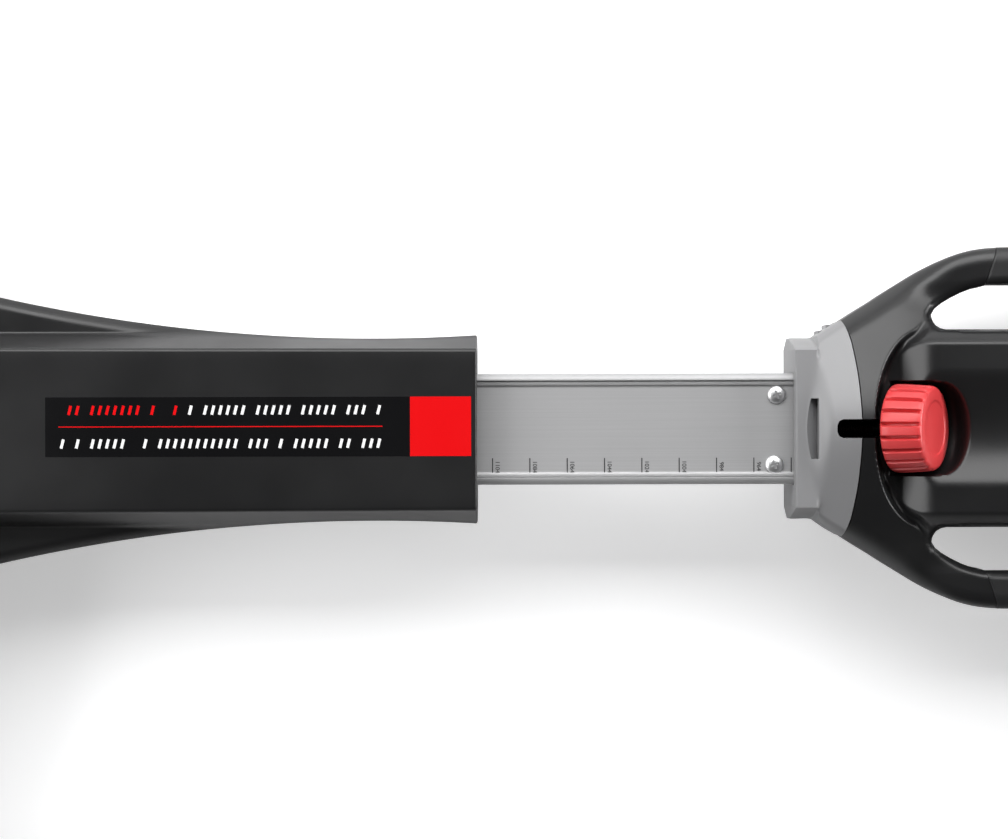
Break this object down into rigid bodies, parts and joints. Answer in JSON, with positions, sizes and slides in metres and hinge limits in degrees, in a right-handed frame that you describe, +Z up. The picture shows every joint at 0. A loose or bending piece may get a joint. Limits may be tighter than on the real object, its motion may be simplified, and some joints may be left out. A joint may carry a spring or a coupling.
{
  "type": "bike rollers",
  "caption": "Telescopic folding bike rollers with a front and two rear drums, belt drive, clamp knob and a frame that floats on wheeled feet.",
  "frame": {"origin": "on the ground under the middle of the whole frame, with the rail at the pulled-out length that the scale shows", "axes": "+Z up, +X from the front drum towards the rear drums along the rail, +Y to the left side"},
  "size_m": [1.387, 0.5426, 0.1538],
  "materials": {
    "dark_plastic": "fine moulded grain, dark grey",
    "black_plastic": "fine moulded grain, black",
    "grey_plastic": "light grey moulded plastic",
    "red_plastic": "red moulded plastic",
    "aluminium": "satin anodised",
    "steel": "zinc plated",
    "rubber": "matt black rubber"
  },
  "bodies": {
    "rear_frame": {"rear_body": "black_plastic", "rear_base_cover": "black_plastic", "grip_left": "rubber", "grip_right": "rubber", "fold_pin": "steel", "clamp_rod": "steel", "rear_arm_left": "aluminium", "rear_arm_right": "aluminium", "rear_cross_member": "aluminium", "drive_axle": "steel", "drive_axle_nut": "steel", "back_axle": "steel", "back_axle_nut": "steel"},
    "rail_carrier": {"collar": "grey_plastic", "rail": "aluminium", "rail_screw_upper": "steel", "rail_screw_lower": "steel", "rail_glide": "black_plastic"},
    "front_frame": {"front_body": "dark_plastic", "front_base_cover": "dark_plastic", "front_arm_left": "aluminium", "front_arm_right": "aluminium", "front_axle": "steel", "front_axle_nut": "steel", "drive_belt": "rubber"},
    "front_roller": {"front_drum": "aluminium", "front_drum_cap_left": "black_plastic", "front_drum_cap_right": "black_plastic", "front_bearing_left": "steel", "front_bearing_right": "steel"},
    "drive_roller": {"drive_drum": "aluminium", "drive_drum_cap_left": "black_plastic", "drive_drum_cap_right": "black_plastic", "drive_bearing_left": "steel", "drive_bearing_right": "steel"},
    "back_roller": {"back_drum": "aluminium", "back_drum_cap_left": "black_plastic", "back_drum_cap_right": "black_plastic", "back_bearing_left": "steel", "back_bearing_right": "steel"},
    "washer": {"clamp_washer": "steel"},
    "knob": {"clamp_knob": "red_plastic"},
    "front_floor_foot": {"front_foot": "black_plastic", "front_wheel_pin_left": "steel", "front_wheel_pin_right": "steel", "front_pad_left": "rubber", "front_pad_right": "rubber"},
    "rear_floor_foot": {"rear_foot": "black_plastic", "rear_wheel_pin_left": "steel", "rear_wheel_pin_right": "steel", "rear_pad_left": "rubber", "rear_pad_right": "rubber"},
    "front_left_wheel": {"front_wheel_left": "grey_plastic"},
    "front_right_wheel": {"front_wheel_right": "grey_plastic"},
    "rear_left_wheel": {"rear_wheel_left": "grey_plastic"},
    "rear_right_wheel": {"rear_wheel_right": "grey_plastic"}
  },
  "joints": [
    {"name": "fold_hinge", "type": "hinge", "parent": "rear_frame", "child": "rail_carrier", "pos_m": [0.05, 0, 0.02], "axis": [0, -1, 0], "range_deg": [0, 170]},
    {"name": "wheelbase_slide", "type": "slide", "parent": "rail_carrier", "child": "front_frame", "axis": [1, 0, 0], "range_m": [0, 0.168], "deforming": ["drive_belt"]},
    {"name": "knob_turn", "type": "hinge", "parent": "washer", "child": "knob", "pos_m": [0.087, 0, 0.081], "axis": [0.866, 0, 0.5], "range_deg": [0, 720]},
    {"name": "clamp_feed", "type": "slide", "parent": "rear_frame", "child": "washer", "axis": [0.866, 0, 0.5], "range_m": [0, 0.003]},
    {"name": "front_roller_spin", "type": "hinge", "parent": "front_frame", "child": "front_roller", "pos_m": [-0.6185, 0, 0.09], "axis": [0, 1, 0], "continuous": true},
    {"name": "drive_roller_spin", "type": "hinge", "parent": "rear_frame", "child": "drive_roller", "pos_m": [0.3685, 0, 0.09], "axis": [0, 1, 0], "continuous": true},
    {"name": "back_roller_spin", "type": "hinge", "parent": "rear_frame", "child": "back_roller", "pos_m": [0.6185, 0, 0.09], "axis": [0, 1, 0], "continuous": true},
    {"name": "rear_float", "type": "slide", "parent": "rear_frame", "child": "rear_floor_foot", "axis": [1, 0, 0], "range_m": [-0.025, 0.025], "stiffness_N_per_m": 400},
    {"name": "front_float", "type": "slide", "parent": "front_frame", "child": "front_floor_foot", "axis": [1, 0, 0], "range_m": [-0.025, 0.025], "stiffness_N_per_m": 400},
    {"name": "front_left_wheel_roll", "type": "hinge", "parent": "front_floor_foot", "child": "front_left_wheel", "pos_m": [-0.509, 0.15, 0.0227], "axis": [0, 1, 0], "range_deg": [-125, 125]},
    {"name": "front_right_wheel_roll", "type": "hinge", "parent": "front_floor_foot", "child": "front_right_wheel", "pos_m": [-0.509, -0.15, 0.0227], "axis": [0, 1, 0], "range_deg": [-125, 125]},
    {"name": "rear_left_wheel_roll", "type": "hinge", "parent": "rear_floor_foot", "child": "rear_left_wheel", "pos_m": [0.4935, 0.15, 0.0227], "axis": [0, 1, 0], "range_deg": [-125, 125]},
    {"name": "rear_right_wheel_roll", "type": "hinge", "parent": "rear_floor_foot", "child": "rear_right_wheel", "pos_m": [0.4935, -0.15, 0.0227], "axis": [0, 1, 0], "range_deg": [-125, 125]}
  ],
  "couplings": [
    {"joint": "knob_turn", "follows": "clamp_feed", "rad_per_m": 4188.8},
    {"joint": "front_roller_spin", "follows": "drive_roller_spin", "ratio": 1},
    {"joint": "front_float", "follows": "rear_float", "ratio": 1},
    {"joint": "front_left_wheel_roll", "follows": "rear_float", "rad_per_m": -83.333},
    {"joint": "front_right_wheel_roll", "follows": "rear_float", "rad_per_m": -83.333},
    {"joint": "rear_left_wheel_roll", "follows": "rear_float", "rad_per_m": -83.333},
    {"joint": "rear_right_wheel_roll", "follows": "rear_float", "rad_per_m": -83.333}
  ]
}
